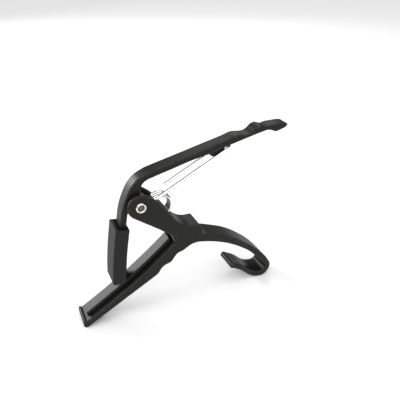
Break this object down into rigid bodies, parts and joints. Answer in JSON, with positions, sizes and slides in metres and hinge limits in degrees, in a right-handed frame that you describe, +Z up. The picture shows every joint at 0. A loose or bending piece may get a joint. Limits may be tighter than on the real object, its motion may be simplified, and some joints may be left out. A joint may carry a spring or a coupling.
{
  "type": "guitar capo",
  "caption": "Spring-loaded trigger capo: a cast lower lever with a curved padded bar and hooked handle, a sleeved upper lever on a rivet, and a wire torsion spring.",
  "frame": {"origin": "middle of the footprint, on the surface that the bar's tip and the hook's bend stand on", "axes": "+X from the bar's tip towards the hook and the free ends of both handles, +Y across the levers along the pivot, +Z up"},
  "size_m": [0.1184, 0.0152, 0.0953],
  "materials": {
    "cast_paint": "satin",
    "pad_rubber": "matte",
    "sleeve_rubber": "matte",
    "rivet_metal": "polished",
    "spring_wire": "polished"
  },
  "bodies": {
    "lower": {"lower_lever": "cast_paint", "fretboard_pad": "pad_rubber", "pivot_rivet": "rivet_metal", "torsion_spring": "spring_wire"},
    "upper": {"upper_lever": "cast_paint", "neck_sleeve": "sleeve_rubber"}
  },
  "joints": [
    {"name": "lever_pivot", "type": "hinge", "parent": "lower", "child": "upper", "pos_m": [-0.024, 0, 0.0646], "axis": [0, 1, 0], "range_deg": [0, 36], "stiffness_Nm_per_rad": 1, "springref_deg": -40.11, "deforming": ["torsion_spring"]}
  ]
}
